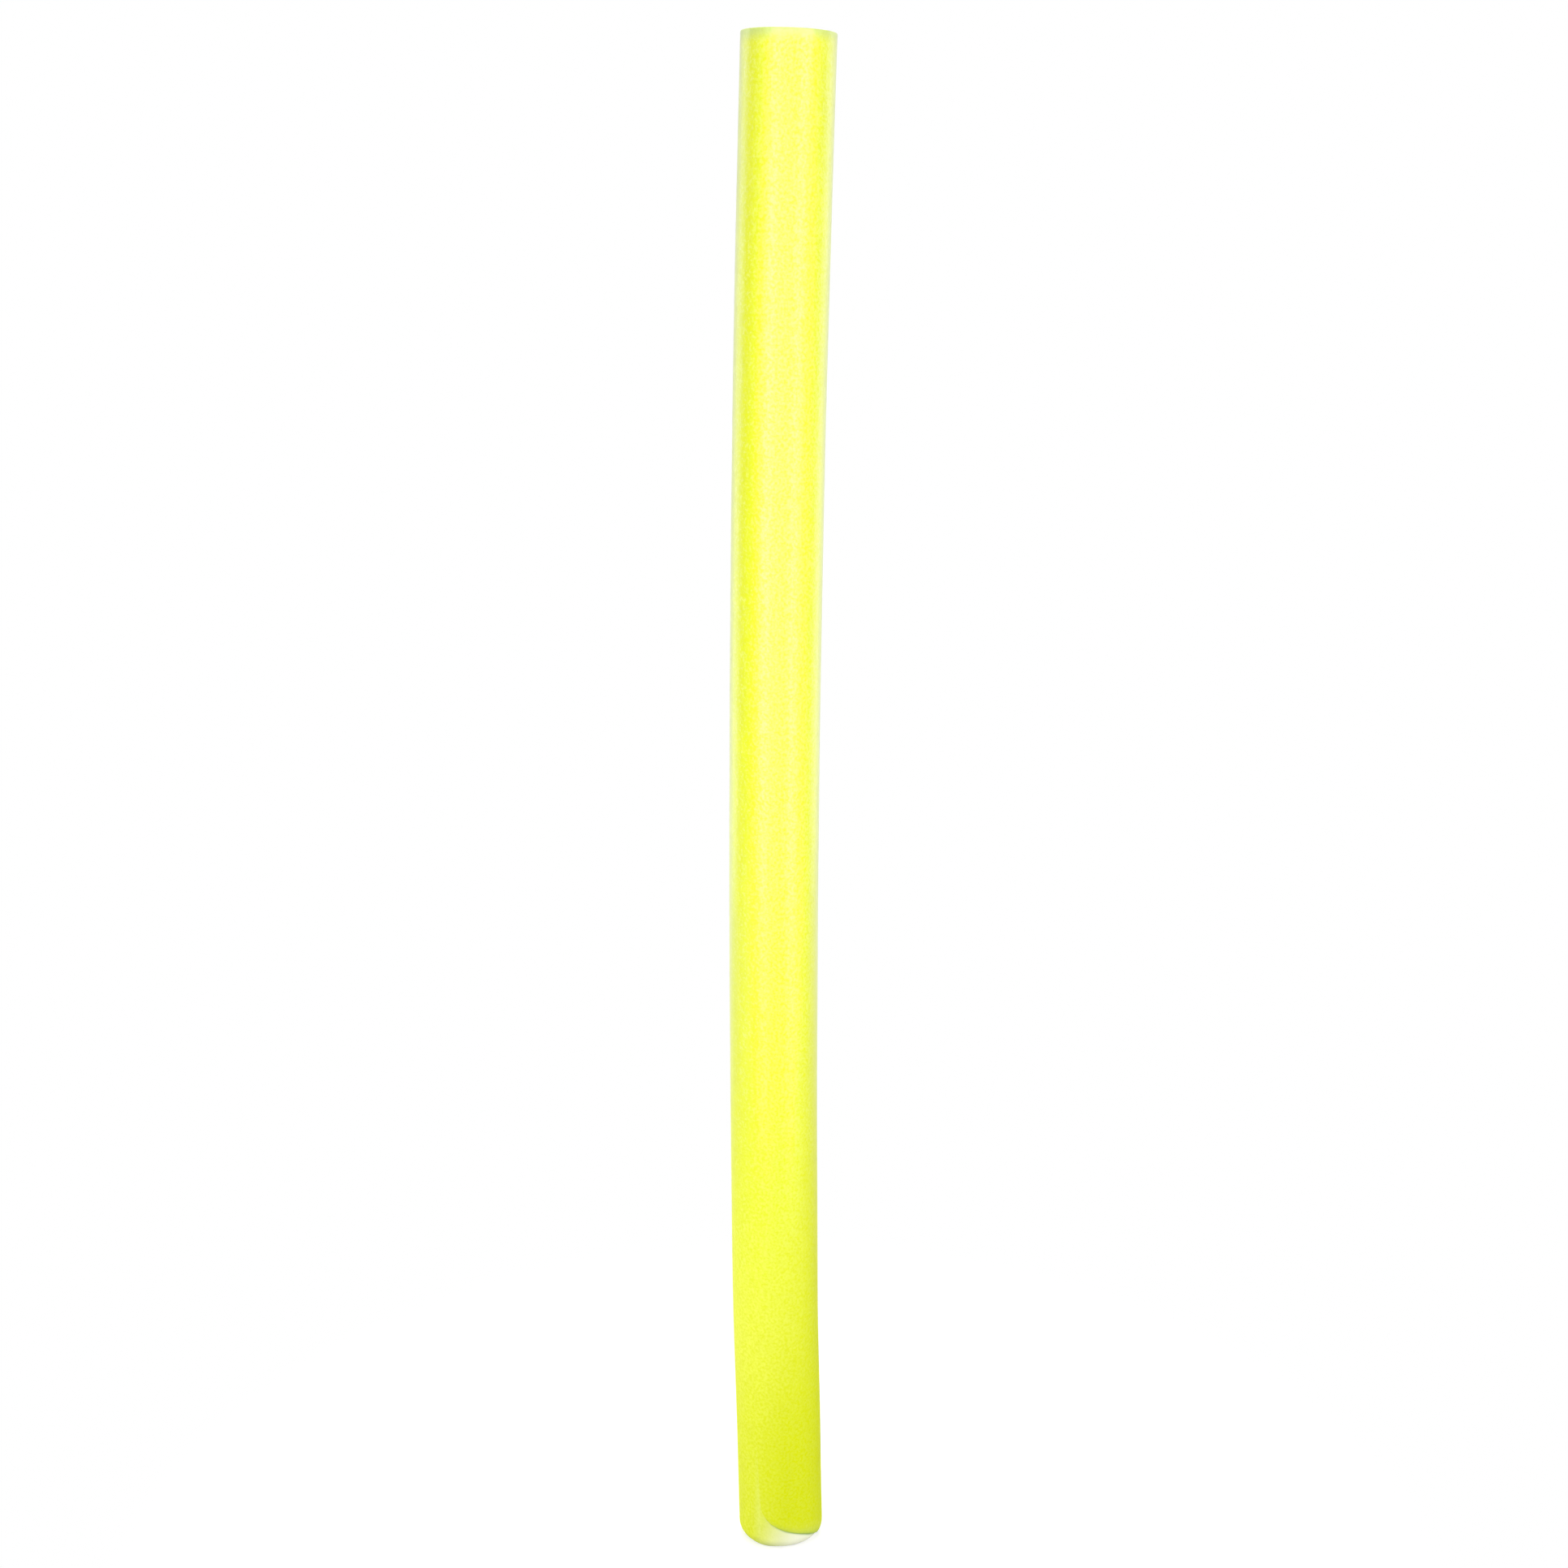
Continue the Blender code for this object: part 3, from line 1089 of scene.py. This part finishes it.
def build_floor_look():
    material = bpy.data.materials.new("floor_look")
    material.use_nodes = True
    tree = material.node_tree
    tree.nodes.clear()
    plain = add(tree, "ShaderNodeBsdfDiffuse")
    plain.inputs["Color"].default_value = FLOOR_COLOUR
    near = add(tree, "ShaderNodeAddShader")
    tree.links.new(plain.outputs[0], near.inputs[0])
    tree.links.new(white_glow(tree, "ShaderNodeEmission", FLOOR_LIFT), near.inputs[1])

    length = add(tree, "ShaderNodeVectorMath", operation="LENGTH")
    tree.links.new(on_object(tree), length.inputs[0])
    outward = ranged(tree, length.outputs["Value"], *SHADOW_REACH, 0.0, 1.0, smooth=True)
    seen = mixed_shaders(tree, outward, near.outputs[0], white_glow(tree, "ShaderNodeEmission", 1.0))
    direct = ray_is(tree, "Is Camera Ray", "Is Glossy Ray")
    surface = mixed_shaders(tree, direct, plain.outputs[0], seen)

    backfacing = add(tree, "ShaderNodeNewGeometry").outputs["Backfacing"]
    under_foot = math_node(tree, "LESS_THAN", length.outputs["Value"], FOOT_FLAT_RADIUS)
    clear = add(tree, "ShaderNodeBsdfTransparent").outputs[0]
    surface = mixed_shaders(tree, math_node(tree, "MAXIMUM", backfacing, under_foot), surface, clear)
    tree.links.new(surface, add(tree, "ShaderNodeOutputMaterial").inputs["Surface"])
    return material


floor_look = build_floor_look()
print("the shadow fades out", SHADOW_REACH[1], "m from the noodle")

# %% [markdown]
# ## Laying the floor and the world
#
# The world is the soft grey light from all round, and white where it is looked at.

# %% Floor and world
FLOOR_SIZE = 12.0
WORLD_LIGHT = 0.24


def build_floor():
    bm = bmesh.new()
    bmesh.ops.create_grid(bm, x_segments=1, y_segments=1, size=FLOOR_SIZE / 2)
    mesh = bpy.data.meshes.new("floor")
    bm.to_mesh(mesh)
    bm.free()
    mesh.materials.append(floor_look)
    floor = bpy.data.objects.new("floor", mesh)
    bpy.context.scene.collection.objects.link(floor)


def build_world():
    world = bpy.data.worlds.new("studio")
    world.use_nodes = True
    tree = world.node_tree
    tree.nodes.clear()
    light = white_glow(tree, "ShaderNodeBackground", WORLD_LIGHT)
    white = white_glow(tree, "ShaderNodeBackground", 1.0)
    direct = ray_is(tree, "Is Camera Ray", "Is Glossy Ray", "Is Transmission Ray")
    chosen = mixed_shaders(tree, direct, light, white)
    tree.links.new(chosen, add(tree, "ShaderNodeOutputWorld").inputs["Surface"])
    bpy.context.scene.world = world


build_floor()
build_world()
print("floor and world are in place")

# %% [markdown]
# ## Light
#
# The photograph shows two long soft highlights, a third of the way in from each side, and pale rims. Long
# highlights on a round bar come from tall strip lights. A highlight lies halfway round between the camera
# and its lamp, so the strips for the highlights stand 26 degrees to the left and 44 to the right, and the
# strips for the rims stand at 120. A studio shades its lamps, so that some give the broad light and others
# only the highlights, and each strip here does one of the two. The broad ones end well above the floor,
# which leaves the foot in dimmer light, and two low ones lift its sides again.

# %% Placing the lamps
WHITE = (1.0, 1.0, 1.0)
COOL = (0.985, 1.0, 0.98)
WARM = (1.0, 0.98, 0.95)
STRIPS = (
    # name, degrees from the camera's side, distance, bottom, top, width, watts, tint, makes highlights only
    ("front_left", -27, 1.10, 0.40, 1.55, 0.36, 6.0, COOL, False),
    ("front_middle", 6, 1.25, 0.55, 1.55, 0.30, 2.5, WHITE, False),
    ("front_right", 35, 1.10, 0.40, 1.55, 0.30, 6.1, WARM, False),
    ("side_left", -75, 1.10, 0.85, 1.50, 0.30, 0.6, COOL, False),
    ("side_right", 80, 1.10, 0.30, 1.50, 0.30, 1.6, WHITE, False),
    ("low_left", -78, 0.70, 0.12, 0.34, 0.50, 2.1, WHITE, False),
    ("low_right", 60, 0.80, 0.02, 0.30, 0.40, 1.15, WHITE, False),
    ("back", 180, 1.40, 0.10, 1.50, 0.60, 14.0, WHITE, False),
    ("glint_left", -26, 1.10, 0.05, 1.55, 0.50, 13.5, WHITE, True),
    ("glint_middle", 5, 1.25, 0.20, 1.55, 0.46, 6.8, WHITE, True),
    ("glint_right", 44, 1.10, 0.05, 1.55, 0.42, 14.5, WHITE, True),
    ("glint_rim_left", -120, 0.90, 0.30, 1.45, 0.46, 3.2, WHITE, True),
    ("glint_rim_right", 120, 0.90, 0.30, 1.45, 0.46, 3.1, WHITE, True),
)


def add_strip(name, degrees, distance, bottom, top, width, watts, tint, highlights_only):
    lamp = bpy.data.lights.new(name, "AREA")
    lamp.shape = "RECTANGLE"
    lamp.size = width
    lamp.size_y = top - bottom
    lamp.energy = watts
    lamp.color = tint
    strip = bpy.data.objects.new(name, lamp)
    turn = math.radians(degrees)
    strip.location = (distance * math.sin(turn), -distance * math.cos(turn), (bottom + top) / 2)
    strip.rotation_euler = (math.pi / 2, 0, turn)
    strip.visible_camera = False
    strip.visible_diffuse = not highlights_only
    strip.visible_glossy = highlights_only
    bpy.context.scene.collection.objects.link(strip)


for strip in STRIPS:
    add_strip(*strip)

bpy.context.scene.view_settings.view_transform = "Standard"
print(len(STRIPS), "strip lamps")

# %% [markdown]
# ## Panels above and below
#
# The cut face at the top and the flat of the foot each get a square panel of their own. The lower one
# shines up through the floor, which is open from below, and lifts the foot's rounding a little.

# %% Placing the panels
PANELS = (
    # name, height, size, watts, shines upwards
    ("overhead", 2.8, 0.9, 27.0, False),
    ("below", -0.8, 0.5, 3.0, True),
)


def add_panel(name, height, size, watts, upwards):
    lamp = bpy.data.lights.new(name, "AREA")
    lamp.size = size
    lamp.energy = watts
    panel = bpy.data.objects.new(name, lamp)
    panel.location = (0, 0, height)
    panel.rotation_euler = (math.pi if upwards else 0, 0, 0)
    panel.visible_camera = False
    panel.visible_glossy = not upwards
    bpy.context.scene.collection.objects.link(panel)


for panel in PANELS:
    add_panel(*panel)

print(len(PANELS), "panels")

# %% [markdown]
# ## The camera
#
# The camera's place was worked out from the outline in the photograph: it stands a metre and a half in
# front of the noodle, a little below its top, and looks down by 13.7 degrees.

# %% The camera
CAMERA_PLACE = (0.0023, -1.5514, 1.0117)
CAMERA_PITCH = 13.69
CAMERA_LENS = 48.5
SENSOR_WIDTH = 36.0

camera_data = bpy.data.cameras.new("camera")
camera_data.lens = CAMERA_LENS
camera_data.sensor_width = SENSOR_WIDTH
camera = bpy.data.objects.new("camera", camera_data)
camera.location = CAMERA_PLACE
camera.rotation_euler = (math.radians(90 - CAMERA_PITCH), 0, 0)
bpy.context.scene.collection.objects.link(camera)
bpy.context.scene.camera = camera
print("camera", round(-CAMERA_PLACE[1], 2), "m in front of the noodle")
